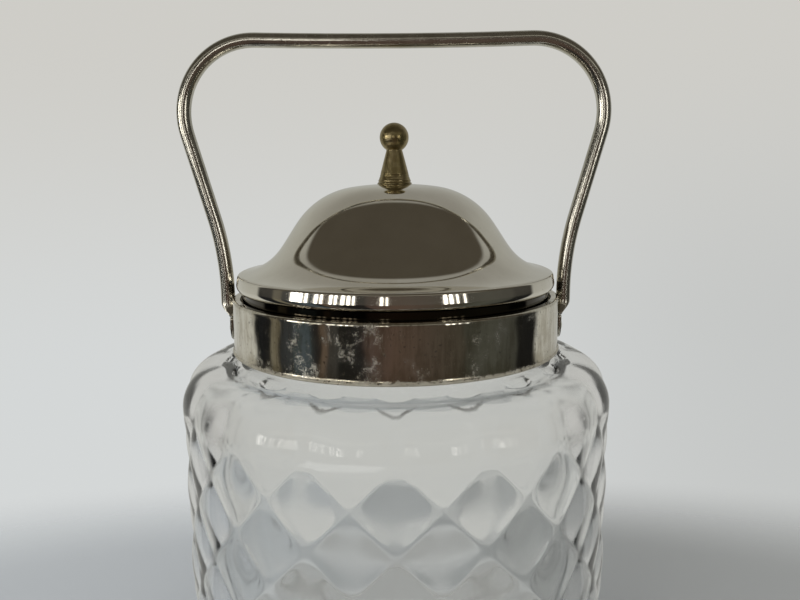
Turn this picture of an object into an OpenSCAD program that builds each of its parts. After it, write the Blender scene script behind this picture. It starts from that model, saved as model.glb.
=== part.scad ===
// Biscuit jar: pressed glass pot, cemented plated collar, spun bell lid with a brass finial
// and a bail handle riveted to the collar. Millimetres, +Z up, origin at the centre of the base.
// The handle stands upright in the XZ plane; it swings about the X axis through its rivets.

/* [Glass body] */
// Height of the glass from the table to the lip of its neck
glass_h = 143.7; // [120:0.1:180]
// Outer radius of the body over the lozenges
body_r = 76.2; // [68:0.1:90]
// Wall thickness of the body in the middle of a lozenge
glass_wall = 6.3; // [5:0.1:9]
// Thickness of the base
base_t = 8; // [5:0.5:12]
// Radius of the rounded shoulder
shoulder_r = 12.6; // [9:0.1:18]
// Radius of the rounded heel
heel_r = 10; // [6:0.5:14]
// Height of the neck above the shoulder
neck_h = 16.1; // [14:0.1:24]
// Outer radius of the neck
neck_r = 54.5; // [48:0.1:58]
// Wall thickness of the neck
neck_wall = 4.5; // [3.5:0.1:6]
// Depth of the recess under the base
recess_h = 1.5; // [0.5:0.1:3]
// Width of the ring that the jar stands on
foot_w = 9.7; // [5:0.1:14]

/* [Lozenge relief] */
// Lozenges round the jar
lozenges = 18; // [12:1:20]
// Height of one lozenge
lozenge_h = 27.2; // [22:0.1:34]
// Depth of the first row of crossings below the foot of the rounded shoulder
lattice_drop = 1; // [0.5:0.1:4]
// Depth of the grooves between the cushioned lozenges
groove = 1.6; // [0.5:0.1:2.5]
// Depth of the thumb dents at the foot of the neck
thumb_dent = 0.8; // [0:0.1:1.2]

/* [Collar] */
// Outer radius of the collar band
collar_r = 58; // [56.5:0.1:60]
// Height of the collar band
collar_h = 18.7; // [17:0.1:20]
// Thickness of the collar sheet
collar_t = 0.8; // [0.6:0.1:1.2]
// Width of the flat top of the collar, from the band to the inner wall
collar_land = 2.8; // [2.2:0.1:4]
// Depth of the ledge that the lid stands on, below the collar's top
ledge_drop = 5; // [3.5:0.1:6]
// Width of the ledge
ledge_w = 4.2; // [3:0.1:5]
// Radius of the bead at the collar's lower edge
bead_r = 0.5; // [0.4:0.05:0.6]
// Thickness of the cement bed on the glass lip
cement_bed = 0.5; // [0.3:0.1:1]

/* [Lid] */
// Radius of the lid at the crease above its rim
crease_r = 56; // [54:0.1:58]
// Height of the crease above the collar's top
crease_h = 8.15; // [7:0.05:10]
// Rise of the dome from the crease to its top
dome_h = 30.8; // [28:0.1:34]
// Radius of curvature on top of the dome
crown_r = 120; // [90:5:160]
// Slope where the crown meets the dome's shoulder
crown_angle = 7; // [5:0.5:9]
// Radius of curvature of the dome's shoulder
dome_r = 28.5; // [26:0.5:30]
// Steepest slope of the lid
steep_angle = 57; // [54:0.5:60]
// Slope of the flare where it meets the crease
flare_angle = 3; // [0:0.5:8]
// Gap between the lid's rolled lip and the collar's top
lip_gap = 2.3; // [1.2:0.1:3]
// Radius of the roll at the lid's lip
roll_r = 2.4; // [2:0.1:2.6]
// Thickness of the lid sheet
lid_t = 0.8; // [0.6:0.1:1.2]
// Play between the lid's flange and the collar's inner wall
flange_play = 0.8; // [0.4:0.05:1]

/* [Finial] */
// Radius of the ball
ball_r = 5.1; // [4:0.1:7]
// Height of the finial's stem, from the lid to where it enters the ball
stem_h = 11.8; // [8:0.1:16]
// Radius of the stem at its top
stem_top_r = 2.75; // [2.2:0.05:3.4]
// Radius of the stem above its lip
stem_foot_r = 5.5; // [5:0.1:7]
// Radius of the lip that stands on the lid
lip_r = 6.15; // [5.8:0.05:8]
// Radius of the screw's thread
screw_r = 1.75; // [1.5:0.05:1.9]
// Length of the screw under its head
screw_l = 9; // [6:0.5:10]
// Radius of the washer under the dome
washer_r = 6; // [4.5:0.1:9]
// Thickness of the washer
washer_t = 0.8; // [0.5:0.1:1.5]

/* [Handle] */
// Radius of the handle bar
bar_r = 2.5; // [2:0.05:3]
// Height of the top bar's centre above the collar's top, at its corners
bail_h = 88; // [84:0.5:110]
// Half of the handle's greatest width, at the bar's centre
bail_w = 73.4; // [70:0.1:75.5]
// Radius of the upper corners
corner_r = 25; // [18:0.5:30]
// Height above the collar's top at which the legs start to lean outwards
lean_start = 0.9; // [0:0.1:3]
// Radius of the bend at the foot of the legs
foot_bend_r = 100; // [60:5:110]
// Dip in the middle of the top bar
top_dip = 0.6; // [0.3:0.1:1.5]
// Depth of the rivets below the collar's top
pivot_drop = 12.5; // [12:0.1:13]
// Radius of the flattened eye
eye_r = 4.5; // [3.8:0.1:4.6]
// Thickness of the flattened eye
eye_t = 1.2; // [1:0.05:1.6]
// Depth below the collar's top at which the bar starts to flatten
flat_start = 3.5; // [3:0.1:4]
// Length over which the bar is flattened
flat_l = 5; // [4:0.1:5]
// Gap between the eye and the collar
eye_gap = 0.5; // [0.4:0.05:0.8]
// Radius of the rivet's shank
rivet_r = 1.5; // [1.2:0.05:1.8]
// Radius of the rivet's head
head_r = 2.7; // [2.4:0.1:3.4]
// Height of the rivet's head
head_h = 1.1; // [0.8:0.1:1.6]

/* [Hidden] */
$fn = 96;

// Clearances
turn_gap = 0.05;   // radial gap of a pin that turns in its eye, and of the screw in its hole
drive_gap = 0.02;  // radial gap of a rivet in the collar's hole
joint_gap = 0.05;  // gap of faces that are soldered, bedded or laid on each other
draw = 0.05;       // the straight runs of the bar are this much thinner than its bends

// Levels
collar_top = glass_h + cement_bed + collar_t + ledge_drop;
ledge_z = collar_top - ledge_drop;
pivot_z = collar_top - pivot_drop;
land_r = collar_r - collar_land;
shoulder_z = glass_h - neck_h - shoulder_r;
// The lattice has as many rows, each half a lozenge high, as fit above the heel
lattice_top = shoulder_z - lattice_drop;
heel_clear = 4;
rows = floor(2 * (lattice_top - heel_r - heel_clear) / lozenge_h);
lattice_bottom = lattice_top - rows * lozenge_h / 2;

// Points of an arc, from angle a to angle b in n steps, both ends included
function arc(x, y, r, a, b, n) =
    [for (i = [0:n]) let (t = a + (b - a) * i / n) [x + r * cos(t), y + r * sin(t)]];
function smooth(t) = let (c = min(1, max(0, t))) c * c * (3 - 2 * c);

// ---- Glass ----
// The outside is a stack of rings. A ring is [radius, height, direction of the face's outward
// normal, share of the grooves' depth, share of the thumb dent's depth].
cell = 360 / lozenges;
samples = 6;
ring_n = lozenges * samples;
inner_n = ring_n / 2;
inner_r = body_r - glass_wall;
shoulder_x = body_r - shoulder_r;
heel_x = body_r - heel_r;
foot_x = heel_x - foot_w;
row_n = 3 * rows;
row_step = lozenge_h / 6;
fade_z = 2 + heel_r / 2;

// Share of the groove's depth, 1 in a groove and 0 in the middle of a lozenge. The grooves run
// along two families of helices, which cross in front, at -90 degrees, at the top of the
// lattice. Above and below the lattice they run on as upright flutes.
function groove_at(a, z) =
    let (h = (lattice_top - min(lattice_top, max(lattice_bottom, z))) / lozenge_h,
        t = (a + 90) / cell)
    1 - pow(abs(sin(180 * (t + h)) * sin(180 * (t - h))), 0.7);
function thumb_at(a) = pow(max(0, cos((a + 90) * lozenges)), 2);

heel_rings = [for (t = [-60, -30, 0])
    let (z = heel_r * (1 + sin(t)))
    [heel_x + heel_r * cos(t), z, t, smooth((z - fade_z) / (lattice_bottom - fade_z)), 0]];
wall_rings = [for (i = [0:row_n]) [body_r, lattice_bottom + i * row_step, 0, 1, 0]];
shoulder_rings = [for (t = [0, 18, 36, 54, 72, 90])
    [shoulder_x + shoulder_r * cos(t), shoulder_z + shoulder_r * sin(t), t,
        smooth((84 - t) / 84), t > 80 ? 1 : 0]];
// A hollow curve, neck_blend high, leads from the shoulder up to the neck
neck_foot = shoulder_z + shoulder_r;
neck_blend = 5.4;
lip_edge = 1;
function blend_ring(across, up, normal, thumb) =
    [shoulder_x + (neck_r - shoulder_x) * across, neck_foot + neck_blend * up, normal, 0, thumb];
neck_rings = [
    blend_ring(0.29, 0.11, 75, 0.6), blend_ring(0.57, 0.35, 55, 0),
    blend_ring(0.87, 0.67, 35, 0), blend_ring(1, 1, 0, 0),
    [neck_r, glass_h - lip_edge, 0, 0, 0],
    [neck_r - lip_edge, glass_h, 90, 0, 0]];
outer_rings = concat([[foot_x, 0, -90, 0, 0], [heel_x, 0, -90, 0, 0]],
    heel_rings, wall_rings, shoulder_rings, neck_rings);

inner_heel = 8;
inner_shoulder = shoulder_r - glass_wall;
neck_inner = neck_r - neck_wall;
inner_edge = 0.6;
// Below the neck the cavity widens in a short slope and an arc
slope_top = neck_foot + 1.5;
slope_h = 4.9;
inner_line = concat(
    [[neck_inner + inner_edge, glass_h], [neck_inner, glass_h - inner_edge],
        [neck_inner, slope_top], [neck_inner + slope_h / 2, slope_top - slope_h]],
    arc(shoulder_x, shoulder_z, inner_shoulder, 90, 0, 3),
    [[inner_r, base_t + inner_heel]],
    arc(inner_r - inner_heel, base_t + inner_heel, inner_heel, -30, -90, 2));

function outer_point(ring, a) =
    let (d = groove * ring[3] * groove_at(a, ring[1]) + thumb_dent * ring[4] * thumb_at(a),
        r = ring[0] - d * cos(ring[2]), z = ring[1] - d * sin(ring[2]))
    [r * cos(a), r * sin(a), z];

// Two triangles over a quad, split along the nearer of the two grooves
function quad(a, b, c, d, rising) = rising ? [[a, b, c], [a, c, d]] : [[a, b, d], [b, c, d]];
// How far column n is from a groove, in samples
function off_groove(n) = let (m = (n + 60 * samples) % samples) min(m, samples - m);

module glass_jar() {
    no = len(outer_rings);
    ni = len(inner_line);
    inner_0 = no * ring_n;
    under = inner_0 + ni * inner_n;
    inside = under + 1;
    points = concat(
        [for (ring = outer_rings, i = [0:ring_n - 1]) outer_point(ring, i * 360 / ring_n - 90)],
        [for (p = inner_line, i = [0:inner_n - 1]) let (a = i * 360 / inner_n - 90)
            [p[0] * cos(a), p[0] * sin(a), p[1]]],
        [[0, 0, recess_h], [0, 0, base_t]]);
    // up counts the rings from the lower edge of a quad to the top of the lattice
    walls = [for (k = [0:no - 2], i = [0:ring_n - 1])
        let (j = (i + 1) % ring_n, up = len(heel_rings) + 2 + row_n - k)
        each quad(k * ring_n + i, k * ring_n + j, (k + 1) * ring_n + j, (k + 1) * ring_n + i,
            off_groove(i + up) < off_groove(i + 1 - up))];
    cavity = [for (k = [0:ni - 2], i = [0:inner_n - 1])
        let (j = (i + 1) % inner_n)
        each quad(inner_0 + k * inner_n + i, inner_0 + k * inner_n + j,
            inner_0 + (k + 1) * inner_n + j, inner_0 + (k + 1) * inner_n + i, true)];
    lip = [for (i = [0:inner_n - 1])
        let (j = (i + 1) % inner_n, t = (no - 1) * ring_n,
            a = t + 2 * i, b = a + 1, c = t + (2 * i + 2) % ring_n, d = inner_0 + i, e = inner_0 + j)
        each [[a, b, d], [b, e, d], [b, c, e]]];
    sole = [for (i = [0:ring_n - 1]) [(i + 1) % ring_n, i, under]];
    floor_disc = [for (i = [0:inner_n - 1])
        let (k = inner_0 + (ni - 1) * inner_n) [k + i, k + (i + 1) % inner_n, inside]];
    faces = concat(walls, cavity, lip, sole, floor_disc);
    color("lightcyan", 0.45) polyhedron(points, [for (f = faces) [f[2], f[1], f[0]]]);
}

// ---- Collar and its cement ----
module cement_ring() {
    band_in = collar_r - collar_t - joint_gap;
    neck_out = neck_r + joint_gap;
    low = collar_top - collar_h + 0.5;
    high = ledge_z - collar_t - joint_gap;
    lip_in = neck_inner + 2 * inner_edge;
    low_w = 0.6;
    tail_room = 0.3;
    color("ivory") difference() {
        rotate_extrude() polygon([
            [neck_out, neck_foot + neck_blend + 0.3], [neck_out, glass_h + joint_gap],
            [lip_in, glass_h + joint_gap], [lip_in, high],
            [band_in, high], [band_in, low], [band_in - low_w, low]]);
        for (side = [0, 180]) rotate([0, 0, side]) translate([neck_r - 1, 0, pivot_z])
            rotate([0, 90, 0]) cylinder(r = head_r + tail_room, h = collar_r);
    }
}

module collar() {
    low = collar_top - collar_h;
    edge_r = 1;
    land_edge_r = 0.4;
    wall_in = collar_r - collar_t;
    hem = low + bead_r;
    color("silver") difference() {
        rotate_extrude() polygon(concat(
            [[wall_in, low], [collar_r, low]],
            arc(collar_r, hem, bead_r, -90, 90, 8),
            arc(collar_r - edge_r, collar_top - edge_r, edge_r, 0, 90, 5),
            arc(land_r + land_edge_r, collar_top - land_edge_r, land_edge_r, 90, 180, 3),
            [[land_r, ledge_z], [land_r - ledge_w, ledge_z], [land_r - ledge_w, ledge_z - collar_t],
                [land_r + collar_t, ledge_z - collar_t], [land_r + collar_t, collar_top - collar_t],
                [wall_in, collar_top - collar_t]]));
        for (side = [0, 180]) rotate([0, 0, side]) translate([land_r + 1, 0, pivot_z])
            rotate([0, 90, 0]) cylinder(r = rivet_r + drive_gap, h = collar_r);
    }
}

module rivet() {
    under_head = eye_gap + eye_t + joint_gap;
    tail = -collar_t - joint_gap;
    tail_t = 0.8;
    tail_r = head_r - 0.4;
    // The head is a cap of a sphere, head_r wide and head_h high
    dome_r = (head_r * head_r + head_h * head_h) / (2 * head_h);
    half_angle = asin(head_r / dome_r);
    cap = arc(0, under_head + head_h - dome_r, dome_r, 90 - half_angle, 90, 8);
    color("gainsboro") translate([collar_r, 0, pivot_z]) rotate([0, 90, 0])
        rotate_extrude() polygon(concat(
            [[0, tail - tail_t], [tail_r, tail - tail_t], [tail_r, tail], [rivet_r, tail],
                [rivet_r, under_head]], cap));
}
module rivet_right() rivet();
module rivet_left() rotate([0, 0, 180]) rivet();

// ---- Lid ----
dome_top = collar_top + crease_h + dome_h;
crease_z = collar_top + crease_h;
// The lid's outline is a chain of arcs, each running on from the last: crown, dome shoulder,
// straight flank and flare. The flare's radius and the flank's length follow from the crease.
crown_x = crown_r * sin(crown_angle);
crown_z = dome_top - crown_r * (1 - cos(crown_angle));
side_x = crown_x + dome_r * (sin(steep_angle) - sin(crown_angle));
side_z = crown_z - dome_r * (cos(crown_angle) - cos(steep_angle));
turn_s = sin(steep_angle) - sin(flare_angle);
turn_c = cos(flare_angle) - cos(steep_angle);
flare_r = ((crease_r - side_x) * tan(steep_angle) - (side_z - crease_z))
    / (turn_s * tan(steep_angle) - turn_c);
flank_x = crease_r - flare_r * turn_s;
flank_z = crease_z + flare_r * turn_c;
flare_cx = flank_x + flare_r * sin(steep_angle);
flare_cz = flank_z + flare_r * cos(steep_angle);

// Outline of the lid, moved inwards by t from its outside
function lid_line(t) = concat(
    arc(0, dome_top - crown_r, crown_r - t, 90, 90 - crown_angle, 6),
    arc(crown_x - dome_r * sin(crown_angle), crown_z - dome_r * cos(crown_angle), dome_r - t,
        90 - crown_angle, 90 - steep_angle, 16),
    arc(flare_cx, flare_cz, flare_r + t, 270 - steep_angle, 270 - flare_angle, 12));
rim_edge_r = 0.9;
flange_r = land_r - flange_play;
roll_x = flange_r + joint_gap;
roll_z = collar_top + lip_gap;
roll_cz = roll_z + roll_r;
roll_out = 0.4;    // how far the roll stands out beyond the crease
roll_cx = crease_r + roll_out - roll_r;
roll_dip = 0.15;   // the roll's inner edge lies this much above its lowest line

module lid_shell() {
    outside = lid_line(0);
    inside = lid_line(lid_t);
    n = len(outside);
    // The last arc stops short of the crease so that the edge can be rounded
    rim = concat(
        arc(crease_r - rim_edge_r, crease_z - rim_edge_r, rim_edge_r, 88, 8, 5),
        arc(roll_cx, roll_cz, roll_r, 8, -78, 10));
    rim_inside = concat(
        arc(roll_cx, roll_cz, roll_r - lid_t, -78, 8, 8),
        [[crease_r - lid_t, crease_z - lid_t - roll_out]]);
    color("silver") difference() {
        rotate_extrude() polygon(concat(
            [for (i = [0:n - 2]) outside[i]], rim,
            [[roll_x, roll_z + roll_dip], [roll_x, roll_z + lid_t]],
            rim_inside,
            [for (i = [n - 2:-1:0]) inside[i]]));
        translate([0, 0, dome_top - 3]) cylinder(r = screw_r + turn_gap, h = 6);
    }
}

module lid_flange() {
    low = ledge_z + joint_gap;
    high = roll_cz + 0.6;
    wall_in = flange_r - lid_t;
    foot_in = wall_in - lid_t;
    color("silver") rotate_extrude() polygon([
        [flange_r, low], [flange_r, high], [wall_in, high],
        [wall_in, low + lid_t], [foot_in, low + lid_t], [foot_in, low]]);
}

// ---- Finial and its screw ----
seat_r = lip_r - 1;
finial_z = dome_top - crown_r + sqrt(crown_r * crown_r - seat_r * seat_r);
ball_z = finial_z + stem_h + sqrt(ball_r * ball_r - stem_top_r * stem_top_r);
tap_depth = 8;

module finial() {
    lip_t = 0.25;
    bead = 0.25;
    bead_z = 1.2;
    seat_h = 0.4;
    color("darkgoldenrod") difference() {
        union() {
            translate([0, 0, ball_z]) sphere(r = ball_r);
            rotate_extrude() polygon([
                [0, finial_z], [lip_r, finial_z], [lip_r, finial_z + lip_t],
                [stem_foot_r + bead / 2, finial_z + bead_z - 0.4],
                [stem_foot_r + bead, finial_z + bead_z], [stem_foot_r, finial_z + bead_z + 0.4],
                [stem_top_r, finial_z + stem_h], [stem_top_r, ball_z], [0, ball_z]]);
        }
        translate([0, 0, finial_z - 1]) cylinder(r = screw_r + turn_gap, h = tap_depth + 1);
        translate([0, 0, finial_z - 1]) cylinder(r = seat_r, h = 1 + seat_h);
    }
}

washer_top = dome_top - crown_r + sqrt(pow(crown_r - lid_t, 2) - washer_r * washer_r);
washer_z = washer_top - washer_t - joint_gap;

module finial_washer() {
    color("silver") translate([0, 0, washer_z]) difference() {
        cylinder(r = washer_r, h = washer_t);
        translate([0, 0, -1]) cylinder(r = screw_r + 0.2, h = washer_t + 2);
    }
}

module finial_screw() {
    pan_r = 1.9 * screw_r;
    pan_h = 1.2 * screw_r;
    slot_w = 0.8;
    slot_h = 1;
    color("dimgray") translate([0, 0, washer_z - joint_gap]) {
        difference() {
            translate([0, 0, -pan_h]) rotate_extrude() polygon(concat(
                [[0, 0]], arc(pan_r - 1, 1, 1, -90, 0, 4), [[pan_r, pan_h], [0, pan_h]]));
            translate([-pan_r - 1, -slot_w / 2, -pan_h - 1]) cube([2 * pan_r + 2, slot_w, slot_h + 1]);
        }
        cylinder(r = screw_r, h = screw_l);
    }
}

// ---- Handle ----
// Right half of the bar's centre line, from the flattened end up: upright foot, foot bend,
// straight leg, corner, and half of the dipping top bar
eye_x = collar_r + eye_gap;
foot_cx = eye_x + bar_r;
corner_x = bail_w - corner_r;
corner_z = collar_top + bail_h - corner_r;
foot_z = collar_top + lean_start;
// A leg runs straight between the two bends and touches both circles
bend_dx = foot_cx + foot_bend_r - corner_x;
bend_dz = corner_z - foot_z;
bend_gap = sqrt(bend_dx * bend_dx + bend_dz * bend_dz);
lean = atan(bend_dz / bend_dx) - acos((corner_r + foot_bend_r) / bend_gap);
leg_l = sqrt(bend_gap * bend_gap - pow(corner_r + foot_bend_r, 2));
leg_top = [corner_x + corner_r * cos(lean), corner_z - corner_r * sin(lean)];
dip_r = corner_x * corner_x / (2 * top_dip) - 2 * corner_r;
dip_angle = asin(corner_x / (dip_r + corner_r));
flat_z = collar_top - flat_start;
tab_z = flat_z - flat_l;

// A bend of the bar in the XZ plane about the point (x, z), from angle a to angle b
module bend(x, z, r, a, b, thick) {
    translate([x, 0, z]) rotate([90, 0, 0]) rotate([0, 0, a])
        rotate_extrude(angle = b - a) translate([r, 0]) circle(r = thick);
}

// Half of the bar. The bends lap the runs between them, which are thinner by the draw of the wire.
module half_bar() {
    lap = 6 / bar_r;
    run_r = bar_r - draw;
    bend(0, corner_z + (dip_r + corner_r) * cos(dip_angle), dip_r, 270, 270 + dip_angle, run_r);
    bend(corner_x, corner_z, corner_r, -lean - lap, 90 + dip_angle + lap, bar_r);
    translate([leg_top[0], 0, leg_top[1]]) rotate([0, 180 + lean, 0]) cylinder(r = run_r, h = leg_l);
    bend(foot_cx + foot_bend_r, foot_z, foot_bend_r, 180 - lean - lap / 5, 180 + lap / 5, bar_r);
    translate([foot_cx, 0, flat_z]) cylinder(r = run_r, h = foot_z - flat_z);
}

// The end of the bar is pressed flat and drilled
module eye() {
    thin = 0.02;
    hull() {
        translate([foot_cx, 0, flat_z]) cylinder(r = bar_r - 2 * draw, h = thin, $fn = 32);
        translate([eye_x, -eye_r, tab_z]) cube([eye_t, 2 * eye_r, thin]);
    }
    difference() {
        union() {
            translate([eye_x, -eye_r, pivot_z]) cube([eye_t, 2 * eye_r, tab_z - pivot_z]);
            translate([eye_x, 0, pivot_z]) rotate([0, 90, 0]) cylinder(r = eye_r, h = eye_t);
        }
        translate([eye_x - 1, 0, pivot_z]) rotate([0, 90, 0])
            cylinder(r = rivet_r + turn_gap, h = eye_t + 2);
    }
}

module handle() {
    color("silver") for (side = [0, 180]) rotate([0, 0, side]) {
        half_bar();
        eye();
    }
}

glass_jar();
cement_ring();
collar();
lid_shell();
lid_flange();
finial();
finial_screw();
finial_washer();
handle();
rivet_left();
rivet_right();
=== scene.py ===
"""Biscuit jar of pressed glass with a plated collar, lid and bail and a brass finial, seen from
just above its lid."""

import math

import bpy
import numpy as np
from mathutils import Matrix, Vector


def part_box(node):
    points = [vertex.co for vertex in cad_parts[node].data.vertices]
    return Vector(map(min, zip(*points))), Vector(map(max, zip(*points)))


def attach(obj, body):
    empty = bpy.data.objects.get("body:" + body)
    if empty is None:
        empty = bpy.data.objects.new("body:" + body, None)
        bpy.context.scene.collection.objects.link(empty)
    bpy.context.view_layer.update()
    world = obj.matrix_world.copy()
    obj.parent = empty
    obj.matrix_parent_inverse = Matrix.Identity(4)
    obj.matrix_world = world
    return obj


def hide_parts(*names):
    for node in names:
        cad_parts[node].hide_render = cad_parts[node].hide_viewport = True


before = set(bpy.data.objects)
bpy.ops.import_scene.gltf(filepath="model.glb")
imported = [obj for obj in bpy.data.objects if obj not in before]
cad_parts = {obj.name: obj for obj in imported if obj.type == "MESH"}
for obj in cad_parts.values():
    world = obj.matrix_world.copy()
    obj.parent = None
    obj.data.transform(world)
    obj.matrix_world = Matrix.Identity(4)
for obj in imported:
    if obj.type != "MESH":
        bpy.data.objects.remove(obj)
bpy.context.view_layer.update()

MM = 0.001
TURN = 2 * math.pi
DEGREES = 180 / math.pi

# ---- Sizes, in millimetres, as in the solids, but for a softer relief on the glass ----
COLLAR_TOP = round(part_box("collar")[1].z / MM, 2)
GLASS_H = round(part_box("glass_jar")[1].z / MM, 2)
BODY_R = round(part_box("glass_jar")[1].x / MM, 2)
PIVOT_Z = COLLAR_TOP - 12.5

GLASS_WALL = 6.3
BASE_T = 8.0
SHOULDER_R = 12.6
HEEL_R = 10.0
NECK_H = 16.1
NECK_R = 54.5
NECK_WALL = 4.5
RECESS_H = 1.5
FOOT_W = 9.7
LOZENGES = 18
LOZENGE_H = 27.2
LATTICE_DROP = 1.0
HEEL_CLEAR = 4.0
GROOVE = 1.2
# How far the bottom of a groove is rounded, and how full the cushions are
ROUNDING = 0.08
SOFTNESS = 0.7
THUMB_DENT = 1.1
# Outer edge of a thumb dent at its middle, and how far its ends draw back, in shares of the way
# from the neck to the shoulder
DENT_EDGE = 0.74
DENT_SAG = 0.16
# Painted shade in the thumb dents fades in between these heights, below the shoulder's top
DENT_SHADE_LOW, DENT_SHADE_HIGH = 118, 122

COLLAR_R = 58.0
COLLAR_H = 18.7
SHEET = 0.8
LAND = 2.8
LEDGE_DROP = 5.0
LEDGE_W = 4.2
BEAD_R = 0.5

CREASE_R = 56.0
CREASE_H = 8.15
DOME_H = 30.8
CROWN_R = 120.0
CROWN_ANGLE = math.radians(7)
DOME_R = 28.5
STEEP_ANGLE = math.radians(57)
FLARE_ANGLE = math.radians(3)
LIP_GAP = 2.3
ROLL_R = 2.4
FLANGE_R = COLLAR_R - LAND - 0.8
SCREW_HOLE_R = 2.05
# Painted shade in the crevice under the lid's rim: where it fades in across, and fades out upwards
CREVICE_SHADE_IN, CREVICE_SHADE_OUT = 50, 53
CREVICE_SHADE_LOW = COLLAR_TOP + LIP_GAP + 0.1
CREVICE_SHADE_HIGH = COLLAR_TOP + LIP_GAP + 0.9

BALL_R = 5.1
STEM_H = 11.8
STEM_TOP_R = 2.75
STEM_FOOT_R = 5.5
LIP_R = 6.15
BORE_H = 8.0

BAR_R = 2.5
BAIL_H = 88.0
BAIL_W = 73.4
CORNER_R = 25.0
LEAN_START = 0.9
FOOT_BEND_R = 100.0
TOP_DIP = 0.6
EYE_R = 4.5
EYE_T = 1.2
EYE_X = COLLAR_R + 0.5
FLAT_START = 3.5
FLAT_L = 5.0
RIVET_R = 1.5
HEAD_R = 2.7
HEAD_H = 1.1


# ---- Surfaces ----
def add_object(name, data):
    """A new object at the origin with this mesh, lamp or camera in it."""
    thing = bpy.data.objects.new(name, data)
    bpy.context.scene.collection.objects.link(thing)
    return thing


def make_piece(name, points, faces, body, stands_for, finish):
    """A smooth closed mesh from points in millimetres and rows of corner numbers, turned so that
    its volume is positive."""
    corners = np.concatenate([f.ravel() for f in faces])
    sizes = np.concatenate([np.full(len(f), f.shape[1]) for f in faces])
    starts = np.concatenate([[0], np.cumsum(sizes)[:-1]])
    volume = sum(
        np.einsum("ij,ij->", points[f[:, 0]], np.cross(points[f[:, k]], points[f[:, k + 1]]))
        for f in faces
        for k in range(1, f.shape[1] - 1)
    )
    if volume < 0:
        corners = np.concatenate([f[:, ::-1].ravel() for f in faces])
    mesh = bpy.data.meshes.new(name)
    mesh.vertices.add(len(points))
    mesh.vertices.foreach_set("co", (points * MM).astype(np.float32).ravel())
    mesh.loops.add(len(corners))
    mesh.loops.foreach_set("vertex_index", corners.astype(np.int32))
    mesh.polygons.add(len(sizes))
    mesh.polygons.foreach_set("loop_start", starts.astype(np.int32))
    mesh.polygons.foreach_set("use_smooth", np.ones(len(sizes), bool))
    mesh.update(calc_edges=True)
    mesh.validate()
    mesh.materials.append(finish)
    piece = add_object(name, mesh)
    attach(piece, body)
    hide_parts(stands_for)


def ring_quads(rows, columns, close_rows=False):
    """The quads of a grid whose columns close round; its rows close as well if asked."""
    up = np.arange(rows if close_rows else rows - 1)
    i, j = np.meshgrid(up, np.arange(columns), indexing="ij")
    here, above = i * columns, (i + 1) % rows * columns
    beside = (j + 1) % columns
    return np.stack([here + j, here + beside, above + beside, above + j], -1).reshape(-1, 4)


def fan(first, around, tip, forward):
    """Triangles from a ring of points, numbered from the first, to the tip."""
    here = np.arange(around)
    beside = first + (here + 1) % around
    here = first + here
    start, end = (here, beside) if forward else (beside, here)
    return np.stack([start, end, np.full(around, tip)], -1)


def placed(radius, angle, height):
    """Points from grids of radius, angle round Z and height, one row each."""
    grid = [radius * np.cos(angle), radius * np.sin(angle), height + 0 * angle]
    return np.stack(grid, -1).reshape(-1, 3)


def polar(points):
    """Each point's angle round Z and its distance from Z."""
    return np.arctan2(points[:, 1], points[:, 0]), np.hypot(points[:, 0], points[:, 1])


def turned(outline, around, closed=False):
    """A surface of revolution: each (radius, height) goes round Z in equal steps. An end on the
    axis becomes one pole."""
    outline = np.asarray(outline, float)
    poles = [] if closed else [end for end in (0, -1) if outline[end, 0] < 1e-6]
    rings = outline[(1 if 0 in poles else 0) : (len(outline) - 1 if -1 in poles else len(outline))]
    points = placed(rings[:, :1], np.arange(around) * TURN / around, rings[:, 1:])
    faces = [ring_quads(len(rings), around, closed)]
    for end in poles:
        first = 0 if end == 0 else (len(rings) - 1) * around
        faces.append(fan(first, around, len(points), end == -1))
        points = np.vstack([points, [0, 0, outline[end, 1]]])
    return points, faces


def arc(x, y, radius, start, end, steps):
    """Points of an arc about (x, y) from one angle to another, in degrees, both ends included."""
    t = np.radians(np.linspace(start, end, steps + 1))
    return np.stack([x + radius * np.cos(t), y + radius * np.sin(t)], -1)


def curve(p0, p1, p2, p3, steps):
    """Points of a cubic Bezier curve after its start."""
    t = np.linspace(0, 1, steps + 1)[1:, None]
    p0, p1, p2, p3 = (np.array(p, float) for p in (p0, p1, p2, p3))
    return (1 - t) ** 3 * p0 + 3 * t * (1 - t) ** 2 * p1 + 3 * t * t * (1 - t) * p2 + t**3 * p3


def run(start, end, steps):
    """Points of a straight line after its start."""
    t = np.linspace(0, 1, steps + 1)[1:, None]
    return np.array(start, float) * (1 - t) + np.array(end, float) * t


def evenly(outline, step):
    """The same outline with points one step apart along its length."""
    length = np.concatenate([[0], np.cumsum(np.hypot(*np.diff(outline, axis=0).T))])
    at = np.linspace(0, length[-1], max(2, int(round(length[-1] / step)) + 1))
    return np.stack([np.interp(at, length, outline[:, k]) for k in (0, 1)], -1)


def eased(outline, reach):
    """The outline with its bends eased by a running Gaussian mean; its ends stay where they are."""
    side = 3 * reach
    weights = np.exp(-0.5 * (np.arange(-side, side + 1) / reach) ** 2)
    weights /= weights.sum()
    before = 2 * outline[0] - outline[side:0:-1]
    after = 2 * outline[-1] - outline[-2 : -side - 2 : -1]
    longer = np.vstack([before, outline, after])
    return np.stack([np.convolve(longer[:, k], weights, "valid") for k in (0, 1)], -1)


def smooth(t):
    """0 below 0, 1 above 1 and an easy step between."""
    t = np.clip(t, 0, 1)
    return t * t * (3 - 2 * t)


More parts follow.
